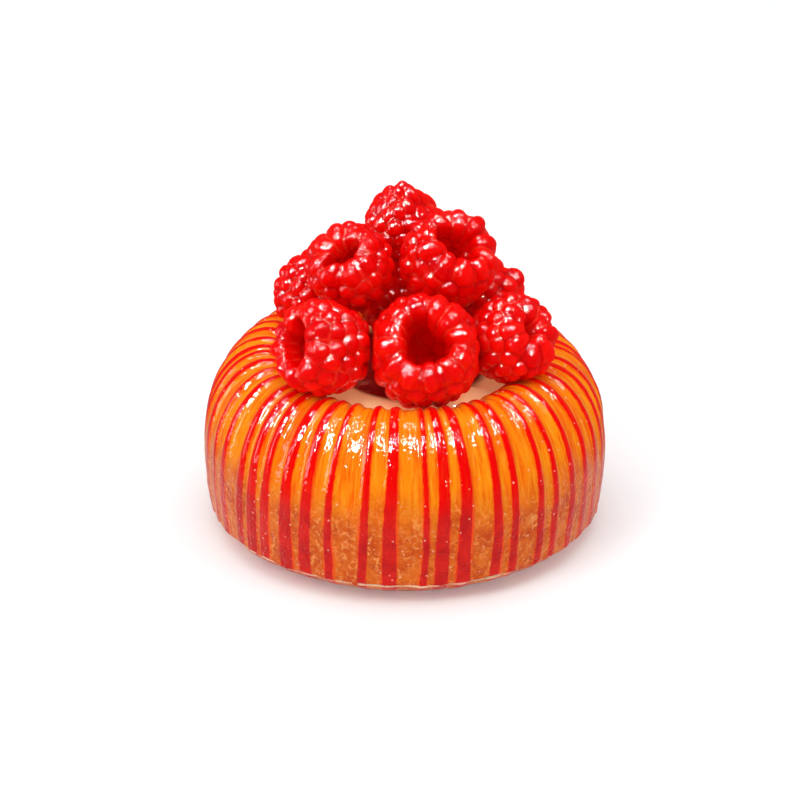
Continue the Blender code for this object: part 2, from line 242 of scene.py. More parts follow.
def crust_mesh():
    """The drum's section turned about Z, pressed along its normals by the strips' grooves, the crowns of
    the bands between them, fine layer ridges, slow lumps on the side and a ragged ledge at the foot."""
    radius, height = crust_section()
    angle = (np.arange(CRUST_COLUMNS) + 0.5) * 2 * math.pi / CRUST_COLUMNS
    angle = angle[None, :]
    steps = np.hypot(np.diff(radius), np.diff(height))
    along = np.concatenate([[0], np.cumsum(steps)])[:, None] + 0 * angle
    radius = radius[:, None] + 0 * angle
    height = height[:, None] + 0 * angle
    angle = angle + 0 * radius
    smooth = np.stack([radius * np.sin(angle), -radius * np.cos(angle), height], axis=-1)
    normal = surface_normals(smooth)
    strip, across, band = strip_pattern(angle, radius, height, along)
    # a point that keeps the full radius while it follows the section, so that grain runs with the strips
    rim = RIM_RADIUS * np.sin(angle), -RIM_RADIUS * np.cos(angle)
    grain = np.stack([*rim, GRAIN_STRETCH * along], axis=-1)

    side = 1 - smoothstep(*SIDE_TOP, height + 2.5 * soft_noise(smooth, 6.0, 11))
    side = np.where(radius < CREST_RADIUS, 0.0, side)
    shown = smoothstep(0.2, 1.4, height) * smoothstep(LIP_RADIUS - 0.5, LIP_RADIUS + 1.5, radius)
    relief = 1 - (1 - SIDE_RELIEF) * side
    groove = smoothstep(*GROOVE_FLANK, strip)
    crown = 1 - np.abs(across) ** 2.4
    ridges = soft_noise(grain, 0.75, 3) * (1 - groove)
    press = (-GROOVE_DEPTH * groove + BAND_CROWN * crown) * relief + LAYER_RIDGE * ridges
    lumps = SIDE_LUMP * soft_noise(smooth, 4.5, 21) + 0.6 * SIDE_LUMP * soft_noise(smooth, 1.9, 22)
    press += lumps * (0.45 + 0.55 * side)

    around = smooth * [1, 1, 0]
    ledge_height = HEEL_HEIGHT + 0.5 * soft_noise(around, 9.0, 31)
    raggedness = 0.45 + 0.85 * soft_noise(around, 2.6, 32) + 0.5 * soft_noise(around, 1.1, 33)
    thickness = 0.24 + 0.1 * soft_noise(around, 3.1, 34)
    flake = np.exp(-(((height - ledge_height) / thickness) ** 2)) * np.clip(raggedness, 0, 1.3)
    flake = flake * (radius > FOOT_RADIUS + 1.5)
    undercut = smoothstep(0.3, -0.9, height - ledge_height) * smoothstep(0.3, 1.2, height)
    press += FLAKE_LEDGE * flake - LEDGE_UNDERCUT * undercut

    over_rim = np.clip((height - SHOULDER_HEIGHT) / (PASTRY_HEIGHT - SHOULDER_HEIGHT), 0, 1)
    points = smooth + normal * (press * shown)[..., None]
    points[..., 2] += rim_swell(angle) * over_rim * shown
    points[..., 2] = np.maximum(points[..., 2], 0.0)
    tones = np.random.default_rng(5).uniform(-1, 1, STRIP_COUNT)
    values = {
        "strip": strip,
        "tone": tones[band],
        "grain": grain,
        "side": side,
        "flake": flake,
    }
    return closed_mesh("glazed_crust", points, (0, 0, WELL_FLOOR), (0, 0, 0), values)


def linear(code):
    """Linear colour of an sRGB hex code, with the sRGB curve undone on each channel."""
    shares = [int(code[i:i + 2], 16) / 255 for i in (0, 2, 4)]
    return (*[s / 12.92 if s <= 0.04045 else ((s + 0.055) / 1.055) ** 2.4 for s in shares], 1.0)


def add_node(tree, kind, inputs, **settings):
    """A shader node with its settings, each input socket given a value or linked from an output.

    A Mix of colours has its share in input 0, its colours in 6 and 7, and the result in output 2.
    """
    made = tree.nodes.new("ShaderNode" + kind)
    for title, value in settings.items():
        setattr(made, title, value)
    for title, value in inputs.items():
        if isinstance(value, bpy.types.NodeSocket):
            tree.links.new(value, made.inputs[title])
        else:
            made.inputs[title].default_value = value
    return made


def new_material(name):
    """A new material, its node tree and its Principled shader."""
    material = bpy.data.materials.new(name)
    material.use_nodes = True
    tree = material.node_tree
    return material, tree, tree.nodes["Principled BSDF"]


def baked_dough():
    """Laminated dough with strips of dough dyed red, baked and brushed with clear sugar glaze.

    The eye sees orange bands with fine yellow and red grain along the strips, vivid red strips with an
    orange bleed, a wet shine on the top, and on the side a duller, mottled crumb with pale veins.
    """
    material, tree, shader = new_material("glazed_croissant_dough")
    strip = add_node(tree, "Attribute", {}, attribute_name="strip").outputs["Fac"]
    tone = add_node(tree, "Attribute", {}, attribute_name="tone").outputs["Fac"]
    side = add_node(tree, "Attribute", {}, attribute_name="side").outputs["Fac"]
    flake = add_node(tree, "Attribute", {}, attribute_name="flake").outputs["Fac"]
    grain = add_node(tree, "Attribute", {}, attribute_name="grain").outputs["Vector"]
    place = add_node(tree, "TexCoord", {}).outputs["Object"]

    # grain of the layers: 0.7 mm wide and eight times as long, and bundles of it 2.4 mm wide
    fine = add_node(tree, "TexNoise", {"Vector": grain, "Scale": 1.5, "Detail": 4.0, "Roughness": 0.6})
    bundle = add_node(tree, "TexNoise", {"Vector": grain, "Scale": 0.42, "Detail": 3.0, "Roughness": 0.5})
    lines = fine.outputs["Fac"]
    deep = add_node(tree, "MapRange", {"Value": bundle.outputs["Fac"], "From Min": 0.42, "From Max": 0.66})
    toned = add_node(tree, "Math", {0: tone, 1: 0.28, 2: deep.outputs[0]}, operation="MULTIPLY_ADD")
    band = add_node(
        tree, "Mix", {0: toned.outputs[0], 6: linear(BAND_PALE), 7: linear(BAND_DEEP)}, data_type="RGBA"
    )
    dark = add_node(tree, "MapRange", {"Value": lines, "From Min": 0.44, "From Max": 0.36, "To Max": 0.6})
    lined = add_node(
        tree, "Mix", {0: dark.outputs[0], 6: band.outputs[2], 7: linear(GRAIN_RED)}, data_type="RGBA"
    )
    pale = add_node(tree, "MapRange", {"Value": lines, "From Min": 0.50, "From Max": 0.70, "To Max": 0.5})
    top = add_node(
        tree, "Mix", {0: pale.outputs[0], 6: lined.outputs[2], 7: linear(GRAIN_PALE)}, data_type="RGBA"
    )

    # crumb of the side: pale veins 1.8 mm apart over patches 4 mm wide, with pits 0.5 mm across
    patches = add_node(
        tree, "TexNoise", {"Vector": place, "Scale": 260.0, "Detail": 5.0, "Roughness": 0.62}
    )
    veins = add_node(
        tree,
        "TexNoise",
        {"Vector": place, "Scale": 560.0, "Detail": 3.0, "Roughness": 0.6, "Distortion": 1.8},
    )
    pits = add_node(tree, "TexVoronoi", {"Vector": place, "Scale": 820.0}).outputs["Distance"]
    patch = add_node(tree, "MapRange", {"Value": patches.outputs[0], "From Min": 0.40, "From Max": 0.62})
    vein = add_node(tree, "MapRange", {"Value": veins.outputs[0], "From Min": 0.50, "From Max": 0.68})
    pit = add_node(tree, "MapRange", {"Value": pits, "From Min": 0.28, "From Max": 0.12, "To Max": 0.4})
    crumb = add_node(
        tree, "Mix", {0: patch.outputs[0], 6: linear(SIDE_PALE), 7: linear(SIDE_DEEP)}, data_type="RGBA"
    )
    veined = add_node(
        tree, "Mix", {0: vein.outputs[0], 6: crumb.outputs[2], 7: linear(SIDE_VEIN)}, data_type="RGBA"
    )
    pitted = add_node(
        tree, "Mix", {0: pit.outputs[0], 6: veined.outputs[2], 7: linear(SIDE_PIT)}, data_type="RGBA"
    )
    dough = add_node(tree, "Mix", {0: side, 6: top.outputs[2], 7: pitted.outputs[2]}, data_type="RGBA")

    # red strips: their edge wavers by 0.2 mm, and dye bleeds up to 1 mm into the dough in places
    waver = add_node(tree, "TexNoise", {"Vector": grain, "Scale": 1.1, "Detail": 3.0, "Roughness": 0.7})
    nibble = add_node(tree, "TexNoise", {"Vector": place, "Scale": 900.0, "Detail": 2.0})
    nibbled = add_node(tree, "Math", {0: nibble.outputs[0], 1: 0.5, 2: strip}, operation="MULTIPLY_ADD")
    wavered = add_node(
        tree, "Math", {0: waver.outputs[0], 1: 0.8, 2: nibbled.outputs[0]}, operation="MULTIPLY_ADD"
    )
    soaked = add_node(tree, "TexNoise", {"Vector": grain, "Scale": 0.24, "Detail": 4.0, "Roughness": 0.7})
    soaking = add_node(tree, "Math", {0: soaked.outputs[0], 1: 3.0, 2: strip}, operation="MULTIPLY_ADD")
    red_mask = add_node(
        tree,
        "MapRange",
        {"Value": wavered.outputs[0], "From Min": 0.50, "From Max": 0.86},
        interpolation_type="SMOOTHSTEP",
    )
    bleed = add_node(
        tree,
        "MapRange",
        {"Value": soaking.outputs[0], "From Min": 0.9, "From Max": 2.0, "To Max": 0.95},
        interpolation_type="SMOOTHSTEP",
    )
    bled = add_node(
        tree, "Mix", {0: bleed.outputs[0], 6: dough.outputs[2], 7: linear(DYE_BLEED)}, data_type="RGBA"
    )
    dye = add_node(tree, "MapRange", {"Value": lines, "From Min": 0.50, "From Max": 0.72, "To Max": 0.5})
    top_red = add_node(
        tree,
        "Mix",
        {0: dye.outputs[0], 6: linear(STRIP_TOP[0]), 7: linear(STRIP_TOP[1])},
        data_type="RGBA",
    )
    side_red = add_node(
        tree,
        "Mix",
        {0: patch.outputs[0], 6: linear(STRIP_SIDE[0]), 7: linear(STRIP_SIDE[1])},
        data_type="RGBA",
    )
    red = add_node(tree, "Mix", {0: side, 6: top_red.outputs[2], 7: side_red.outputs[2]}, data_type="RGBA")
    striped = add_node(
        tree, "Mix", {0: red_mask.outputs[0], 6: bled.outputs[2], 7: red.outputs[2]}, data_type="RGBA"
    )

    # pale specks 0.3 mm wide and 2 mm apart, painted highlights on drops of glaze, and the pale flakes at
    # the foot
    specks = add_node(tree, "TexVoronoi", {"Vector": place, "Scale": 470.0}).outputs["Distance"]
    speck = add_node(tree, "MapRange", {"Value": specks, "From Min": 0.13, "From Max": 0.07}).outputs[0]
    speck_highlight_share = add_node(tree, "Math", {0: speck, 1: 0.5}, operation="MULTIPLY")
    speck_highlighted = add_node(
        tree,
        "Mix",
        {0: speck_highlight_share.outputs[0], 6: striped.outputs[2], 7: linear(SPECK_PAINTED_HIGHLIGHT)},
        data_type="RGBA",
    )
    ledge = add_node(tree, "MapRange", {"Value": flake, "From Min": 0.2, "From Max": 0.5})
    coloured = add_node(
        tree, "Mix", {0: ledge.outputs[0], 6: speck_highlighted.outputs[2], 7: linear(FLAKE_EDGE)}, data_type="RGBA"
    )
    tree.links.new(coloured.outputs[2], shader.inputs["Base Color"])

    # gloss: glaze on the top, wearing off down the side in patches 3 mm wide
    worn = add_node(tree, "TexNoise", {"Vector": place, "Scale": 300.0, "Detail": 3.0, "Roughness": 0.6})
    roughness = add_node(tree, "MapRange", {"Value": side, "To Min": 0.26, "To Max": 0.52})
    tree.links.new(roughness.outputs[0], shader.inputs["Roughness"])
    broken = add_node(tree, "Math", {0: worn.outputs[0], 1: 0.8, 2: side}, operation="MULTIPLY_ADD")
    coat = add_node(
        tree,
        "MapRange",
        {"Value": broken.outputs[0], "From Min": 0.45, "From Max": 1.35, "To Min": 1.0, "To Max": 0.12},
    )
    tree.links.new(coat.outputs[0], shader.inputs["Coat Weight"])
    shader.inputs["Coat Roughness"].default_value = 0.03
    shader.inputs["Coat IOR"].default_value = 1.36
    dry_shine = add_node(tree, "Math", {0: side, 1: 0.08}, operation="MULTIPLY")
    tree.links.new(dry_shine.outputs[0], shader.inputs["Specular IOR Level"])
    # the dry crumb of the side looks pale and dusty where it turns away
    dust = add_node(tree, "Math", {0: side, 1: 0.55, 2: 0.08}, operation="MULTIPLY_ADD")
    tree.links.new(dust.outputs[0], shader.inputs["Sheen Weight"])
    shader.inputs["Sheen Roughness"].default_value = 0.35
    shader.inputs["Sheen Tint"].default_value = linear(DRY_DUST)
    shader.inputs["Subsurface Weight"].default_value = 0.12
    shader.inputs["Subsurface Radius"].default_value = (1.0, 0.45, 0.15)
    shader.inputs["Subsurface Scale"].default_value = 0.0012

    # relief too fine for the mesh: waves in the glaze, grain on the top, crumb and pits on the side
    swirl = add_node(tree, "TexNoise", {"Vector": place, "Scale": 560.0, "Detail": 0.0, "Distortion": 1.4})
    drops = add_node(tree, "Math", {0: speck, 1: 0.7, 2: swirl.outputs["Fac"]}, operation="MULTIPLY_ADD")
    wet = add_node(tree, "Bump", {"Height": drops.outputs[0], "Strength": 1.0, "Distance": 0.00016})
    tree.links.new(wet.outputs["Normal"], shader.inputs["Coat Normal"])
    grain_bump = add_node(tree, "Bump", {"Height": lines, "Strength": 0.5, "Distance": 0.0004})
    crumb_strength = add_node(tree, "Math", {0: side, 1: 0.7}, operation="MULTIPLY")
    pit_depth = add_node(tree, "MapRange", {"Value": pits, "From Min": 0.0, "From Max": 0.35})
    rough = add_node(tree, "Math", {0: veins.outputs["Fac"], 1: pit_depth.outputs[0]}, operation="ADD")
    crumb_bump = add_node(
        tree,
        "Bump",
        {
            "Height": rough.outputs[0],
            "Strength": crumb_strength.outputs[0],
            "Distance": 0.0003,
            "Normal": grain_bump.outputs["Normal"],
        },
    )
    tree.links.new(crumb_bump.outputs["Normal"], shader.inputs["Normal"])
    return material


add_piece(crust_mesh(), baked_dough(), "croissant_ring")

# The pastry cream
# A thick boiled custard, piped into the well while loose, so that it finds its own level, and pushed
# up against the dough where the berries sit in it. Its skin is smooth and wet.

CREAM_LEVEL = 33.4
CREAM_SWELL = 2.8
CREAM_SWELL_RADIUS = 19.2
CREAM_SWELL_WIDTH = 4.2
CREAM_WAVES = 5
CREAM_COLUMNS = 180
CREAM_PALE = "FFDDB0"
CREAM_TAN = "FFC890"
BERRY_SHADE_RED = "9C1410"  # painted shade on the cream under the berries, dark red-brown where their shadow falls
# painted glow: colour of the light the cream emits of its own
CREAM_PAINTED_GLOW = "FFBE84"
# painted shade: the cream's painted glow is dark red under the berries
SHADED_CREAM_GLOW = "180000"


def cream_height(x, y):
    """Height of the cream's surface: a level with a low ring and slow waves."""
    radius = np.hypot(x, y)
    ring = np.exp(-(((radius - CREAM_SWELL_RADIUS) / CREAM_SWELL_WIDTH) ** 2))
    waves = 0.75 + 0.25 * np.sin(CREAM_WAVES * np.arctan2(x, -y) - 1.2)
    return CREAM_LEVEL + CREAM_SWELL * ring * waves


def well_radius(height):
    """Distance from the axis to the wall of the well: the rim's inner quarter ellipse."""
    rise = np.clip((height - LIP_HEIGHT) / (PASTRY_HEIGHT - LIP_HEIGHT), 0, 1)
    return CREST_RADIUS - (CREST_RADIUS - LIP_RADIUS) * np.sqrt(1 - rise**2)


def cream_mesh():
    """Rings of the surface out to the wall, then down the wall, which narrows to the floor."""
    angle = (np.arange(CREAM_COLUMNS) * 2 * math.pi / CREAM_COLUMNS)[None, :]
    edge = well_radius(CREAM_LEVEL + 0.7 * CREAM_SWELL) - 0.35
    shares = np.concatenate([np.linspace(0.08, 0.9, 34), np.linspace(0.92, 1.0, 8)])[:, None]
    radius = edge * shares + 0 * angle
    x, y = radius * np.sin(angle), -radius * np.cos(angle)
    flat = np.stack([x, y, 0 * x], axis=-1)
    height = cream_height(x, y) + 0.5 * soft_noise(flat, 5.0, 41) + 0.15 * soft_noise(flat, 2.2, 42)
    height = height - 0.5 * smoothstep(0.94, 1.0, shares)
    top = np.stack([x, y, height], axis=-1)
    depths = np.linspace(CREAM_LEVEL - 1.5, WELL_FLOOR + 0.4, 8)[:, None]
    wall = well_radius(depths) - 1.3 - 2.5 * smoothstep(LIP_HEIGHT, WELL_FLOOR, depths) + 0 * angle
    below = np.stack([wall * np.sin(angle), -wall * np.cos(angle), depths + 0 * angle], axis=-1)
    rows = np.concatenate([top, below])
    from_axis = np.hypot(rows[..., 0], rows[..., 1])
    # painted shade: share of the cream that is darkened under the berry pile, where their shadow falls
    berry_shade = smoothstep(CREAM_SWELL_RADIUS - 0.2, CREAM_SWELL_RADIUS - 3.2, from_axis)
    centre = (0, 0, float(cream_height(0.0, 0.0)))
    return closed_mesh("cream_pool", rows, centre, (0, 0, WELL_FLOOR + 0.4), {"berry_shade": berry_shade})


def custard():
    """Boiled custard, set but wet: pale tan, slightly see-through, with a sharp shine on its skin."""
    material, tree, shader = new_material("pastry_cream_skin")
    place = add_node(tree, "TexCoord", {}).outputs["Object"]
    mottle = add_node(tree, "TexNoise", {"Vector": place, "Scale": 320.0, "Detail": 3.0}).outputs["Fac"]
    colour = add_node(
        tree, "Mix", {0: mottle, 6: linear(CREAM_PALE), 7: linear(CREAM_TAN)}, data_type="RGBA"
    )
    # painted shade: dark red-brown mixed into the cream under the berries, where their shadow falls
    berry_shade = add_node(tree, "Attribute", {}, attribute_name="berry_shade").outputs["Fac"]
    berry_shaded_cream = add_node(
        tree, "Mix", {0: berry_shade, 6: colour.outputs[2], 7: linear(BERRY_SHADE_RED)}, data_type="RGBA"
    )
    tree.links.new(berry_shaded_cream.outputs[2], shader.inputs["Base Color"])
    shader.inputs["Roughness"].default_value = 0.25
    shader.inputs["Coat Weight"].default_value = 1.0
    shader.inputs["Coat Roughness"].default_value = 0.04
    shader.inputs["Coat IOR"].default_value = 1.36
    shader.inputs["Subsurface Weight"].default_value = 0.5
    shader.inputs["Subsurface Radius"].default_value = (1.0, 0.6, 0.3)
    shader.inputs["Subsurface Scale"].default_value = 0.002
    # painted glow: the cream emits light of its own, standing in for light spread inside the custard, so
    # that the part in shade doesn't go dull; under the berries it is dark, as painted shade
    cream_painted_glow = add_node(
        tree, "Mix", {0: berry_shade, 6: linear(CREAM_PAINTED_GLOW), 7: linear(SHADED_CREAM_GLOW)}, data_type="RGBA"
    )
    tree.links.new(cream_painted_glow.outputs[2], shader.inputs["Emission Color"])
    shader.inputs["Emission Strength"].default_value = 0.27
    bump = add_node(tree, "Bump", {"Height": mottle, "Strength": 0.2, "Distance": 0.0006})
    tree.links.new(bump.outputs["Normal"], shader.inputs["Normal"])
    return material


add_piece(cream_mesh(), custard(), "pastry_cream")

# The raspberries
# Nine large raspberries picked off their cores, so each is a soft cup of drupelets with a hollow.
# They are dipped in clear glaze and piled on the cream, where they press flat on each other.

TOUCH_GAP = 0.3  # mm between two berries that press on each other

# of one berry, over its radius
TIP_LENGTH = 1.03  # from the widest line down to the tip
COLLAR_HEIGHT = 0.82  # from the widest line up to the rolled edge of the mouth
HOLLOW_DEPTH = 0.40  # below the widest line
MIDDLE_SHIFT = 0.10  # of the widest line towards the mouth
ROLL_TIGHTNESS = 0.45  # 1 would make the collar's inner side an ellipse, less makes it steeper
EGG_END = 0.40  # share of the section where the collar begins
COLLAR_END = 0.86  # and where it ends
COLLAR_TOP = (EGG_END + COLLAR_END) / 2
MOUTH_UNEVENNESS = 0.14

# of its drupelets
TIP_SHRINK = 0.24  # how much smaller the drupelets at the tip are
ROW_PITCH = 0.83  # of a row of drupelets, over their width
PETAL_OUT = 0.28  # reach of the long drupelets outside the collar's top, over the radius
PETAL_IN = 0.62  # and inside it
PETAL_WIDTH = 0.74  # over the width of the round ones
BEAD_RADIUS = 0.62  # of a drupelet's own roundness, over its width
BEAD_CUT = 0.93  # share of that radius where its side ends in the groove
BEAD_STRENGTH = 0.85
SWELLING = 0.25  # mm that one may stand higher or lower than the rest

FLESH_DEEP = "D80004"
FLESH_BRIGHT = "FA1006"
# painted shade (dark) and painted light (pale) along the grooves between drupelets
GROOVE_PAINTED_SHADE = "B40004"
GROOVE_PAINTED_LIGHT = "FF4A34"
# painted shade: the deeper red of the berries' hollows
HOLLOW_PAINTED_SHADE = "B00002"
# painted glow: colour of the light the hollows emit
HOLLOW_PAINTED_GLOW = "FF0000"

# name: centre, radius, direction of the mouth, direction of the mouth's long axis, half-widths of the
# hollow over the radius, width of a round drupelet below the collar, columns and rows of the mesh
BERRIES = {
    "front": (
        (4.1, -15.3, 44.6), 11.9, (0.0, -0.77, 0.63), (0.58, -0.36, -0.73),
        (0.34, 0.28), 3.9, 250, 210,
    ),
    "left": (
        (-16.3, -16.0, 45.5), 10.1, (-0.72, -0.56, 0.41), (0.0, 0.45, 0.89),
        (0.34, 0.15), 3.9, 240, 200,
    ),
    "right": (
        (21.1, -8.9, 44.3), 9.5, (0.62, -0.53, 0.58), (0.0, 0.45, 0.89),
        (0.09, 0.05), 3.7, 240, 200,
    ),
    "back_left": (
        (-20.0, 12.0, 44.9), 8.7, (0.60, 0.60, 0.53), (0.0, 0.6, -0.8),
        (0.34, 0.30), 4.1, 190, 150,
    ),
    "back_right": (
        (16.4, 12.8, 44.0), 8.5, (0.45, 0.62, 0.64), (1.0, 0.0, -0.8),
        (0.34, 0.28), 4.1, 190, 150,
    ),
    "back": (
        (-1.9, 15.3, 42.5), 9.2, (-0.15, 0.80, 0.58), (1.0, 0.2, 0.3),
        (0.35, 0.33), 4.1, 160, 130,
    ),
    "upper_left": (
        (-11.1, -0.4, 56.2), 9.4, (-0.25, -0.59, 0.77), (-0.77, -0.29, -0.57),
        (0.30, 0.07), 4.0, 240, 200,
    ),
    "upper_right": (
        (8.5, 0.2, 57.8), 10.4, (0.28, -0.58, 0.76), (0.82, -0.26, -0.52),
        (0.34, 0.17), 4.0, 250, 200,
    ),
    "top": (
        (-0.8, 15.7, 60.6), 8.6, (0.45, 0.78, -0.44), (1.0, 0.0, 0.0),
        (0.34, 0.34), 4.9, 210, 170,
    ),
}
TOP_TAPER = 0.4  # how much narrower the top berry gets towards its highest point
TOP_LEAN = -1.0  # mm to the right at that point


def berry_wall(share, turn, wide, narrow):
    """Points of the smooth wall over the berry's radius, with the axis along Z.

    share runs from 0 at the tip to 1 at the bottom of the hollow, over three quarter and half ellipses:
    the egg below the widest line, the collar that rolls over into the mouth, and the hollow's bottom.
    The collar's inner side drops more steeply than an ellipse, so that the mouth stays narrow.
    """
    hollow = 1 / np.hypot(np.cos(turn) / wide, np.sin(turn) / narrow)
    hollow = hollow * (1 + MOUTH_UNEVENNESS * np.sin(3 * turn + 20 * narrow))
    below = np.clip(share / EGG_END, 0, 1) * math.pi / 2
    over = np.clip((share - EGG_END) / (COLLAR_END - EGG_END), 0, 1) * math.pi
    inside = np.clip((share - COLLAR_END) / (1 - COLLAR_END), 0, 1) * math.pi / 2
    middle, half = (1 + hollow) / 2, (1 - hollow) / 2
    outward = np.cos(over)
    rolled = np.where(outward < 0, -np.abs(outward) ** ROLL_TIGHTNESS, outward)
    egg = (np.sin(below), -TIP_LENGTH * np.cos(below))
    collar = (middle + half * rolled, COLLAR_HEIGHT * np.sin(over))
    pit = (hollow * np.cos(inside), -HOLLOW_DEPTH * np.sin(inside))
    part = [share <= EGG_END, share <= COLLAR_END]
    radius, height = (np.select(part, [egg[i], collar[i]], pit[i]) for i in (0, 1))
    return np.stack([radius * np.cos(turn), radius * np.sin(turn), height + MIDDLE_SHIFT], axis=-1)


def even_shares(wide, narrow, size, count):
    """count shares that lie evenly along the section, and the section's length in mm for each share."""
    fine = np.linspace(0, 1, 2000)
    mean_width = (wide + narrow) / 2
    line = berry_wall(fine, 0 * fine, mean_width, mean_width) * size
    length = np.concatenate([[0], np.cumsum(np.linalg.norm(np.diff(line, axis=0), axis=1))])
    return np.interp(np.linspace(0, length[-1], count), length, fine), fine, length


def drupelet_seeds(draws, wide, narrow, size, drupelet_width):
    """Points that the drupelets grow round, as share, turn, drupelet number, and each one's width.

    Small round drupelets stand in rows from the tip to the collar, each round one point. On the collar
    long ones lie from outside to inside, each round eleven points, and finer rows line the hollow.
    """
    _, fine, length = even_shares(wide, narrow, size, 2)
    mean_width = (wide + narrow) / 2
    row_pitch = ROW_PITCH * drupelet_width
    top = np.interp(COLLAR_TOP, fine, length)
    seeds, widths = [], []

    def add_row(places, pitch):
        share = np.interp(places.mean(), length, fine)
        around = np.linalg.norm(berry_wall(share, 0.0, mean_width, mean_width)[:2]) * size
        count = max(int(round(2 * math.pi * around / pitch)), 1)
        steps = draws.uniform(0.72, 1.28, count)
        turns = draws.uniform(0, 2 * math.pi) + np.cumsum(steps) * 2 * math.pi / steps.sum()
        shift = draws.uniform(-0.12, 0.12, count) * row_pitch
        for place in places:
            shares = np.interp(place + shift, length, fine)
            seeds.append(np.stack([shares, turns, len(widths) + np.arange(count)], axis=-1))
        widths.extend(pitch * draws.uniform(0.92, 1.12, count))

    outer = top - PETAL_OUT * size
    rows = int(round((outer - 0.8 * row_pitch) / row_pitch))
    last = outer - 1.05 * row_pitch
    for place in last * np.linspace(0.0, 1.0, rows + 1) ** 1.12:
        add_row(np.array([place]), drupelet_width * (1 - TIP_SHRINK * (1 - place / last)))
    add_row(np.linspace(outer, top + PETAL_IN * size, 11), PETAL_WIDTH * drupelet_width)
    inner = top + PETAL_IN * size + 0.8 * row_pitch
    for place in np.arange(inner, length[-1], 0.8 * row_pitch):
        add_row(np.array([place]), PETAL_WIDTH * drupelet_width)
    seeds = np.concatenate(seeds)
    order = np.argsort(seeds[:, 2], kind="stable")
    return seeds[order, 0], seeds[order, 1], seeds[order, 2].astype(int), np.array(widths)


def drupelet_cells(points, centres, owners):
    """For each point the number of the nearest drupelet, its distance to that one's middle, and to the
    groove around it, which is half the difference between its distances to the nearest two."""
    flat = points.reshape(-1, 3)
    squares = (flat**2).sum(axis=1)[:, None] + (centres**2).sum(axis=1)[None, :] - 2 * flat @ centres.T
    starts = np.searchsorted(owners, np.arange(owners[-1] + 1))
    nearest = np.sqrt(np.maximum(np.minimum.reduceat(squares, starts, axis=1), 0))
    own = nearest.argmin(axis=1)
    two = np.partition(nearest, 1, axis=1)[:, :2]
    shape = points.shape[:-1]
    return own.reshape(shape), two[:, 0].reshape(shape), ((two[:, 1] - two[:, 0]) / 2).reshape(shape)


def berry_axes(mouth, long_way):
    """Three unit vectors: along and across the mouth, and the axis towards the mouth."""
    axis = Vector(mouth).normalized()
    across = axis.cross(Vector(long_way)).normalized()
    return np.array([across.cross(axis), across, axis])


def pressed(points, name):
    """Squeezes a berry softly against the plane between it and each neighbour, which divides their
    distance by their radii, less half the gap."""
    centre, own = np.array(BERRIES[name][0]), BERRIES[name][1]
    for other, (place, radius, *_) in BERRIES.items():
        if other == name:
            continue
        towards = np.array(place) - centre
        distance = np.linalg.norm(towards)
        limit = distance * own / (own + radius) - TOUCH_GAP / 2
        reach = (points - centre) @ (towards / distance)
        soft = 0.35
        eased = limit - soft * np.log1p(np.exp(np.clip((limit - reach) / soft, -30, 30)))
        scale = np.where(reach > 0.6 * limit, eased / np.maximum(reach, 0.6 * limit), 1.0)
        points = centre + (points - centre) * scale[..., None]
    return points


def rim_height(radius):
    """Height of the dough's top at this distance from the axis: quarter ellipses beside its crest."""
    outside = (radius - CREST_RADIUS) / (RIM_RADIUS - CREST_RADIUS)
    inside = (CREST_RADIUS - radius) / (CREST_RADIUS - LIP_RADIUS)
    across = np.clip(np.maximum(outside, inside), 0.0, 1.0)
    foot = np.where(outside > 0, SHOULDER_HEIGHT, LIP_HEIGHT)
    return foot + (PASTRY_HEIGHT - foot) * np.sqrt(1.0 - across**2)


def resting(points):
    """Lifts what would sink into the dough or the cream onto them."""
    x, y = points[..., 0], points[..., 1]
    dough = rim_height(np.hypot(x, y)) + rim_swell(np.arctan2(x, -y)) + BAND_CROWN
    floor = np.maximum(cream_height(x, y), dough) + 0.5 * TOUCH_GAP
    points[..., 2] = np.maximum(points[..., 2], floor)
    return points


def tapered(local, axes, size):
    """Draws a berry's upper half in towards a point, in proportion to the height above its centre."""
    turned = local @ axes
    share = np.clip(turned[..., 2:] / size, 0, 1)
    turned[..., :2] = turned[..., :2] * (1 - TOP_TAPER * share) + share * [TOP_LEAN, 0]
    return turned @ axes.T


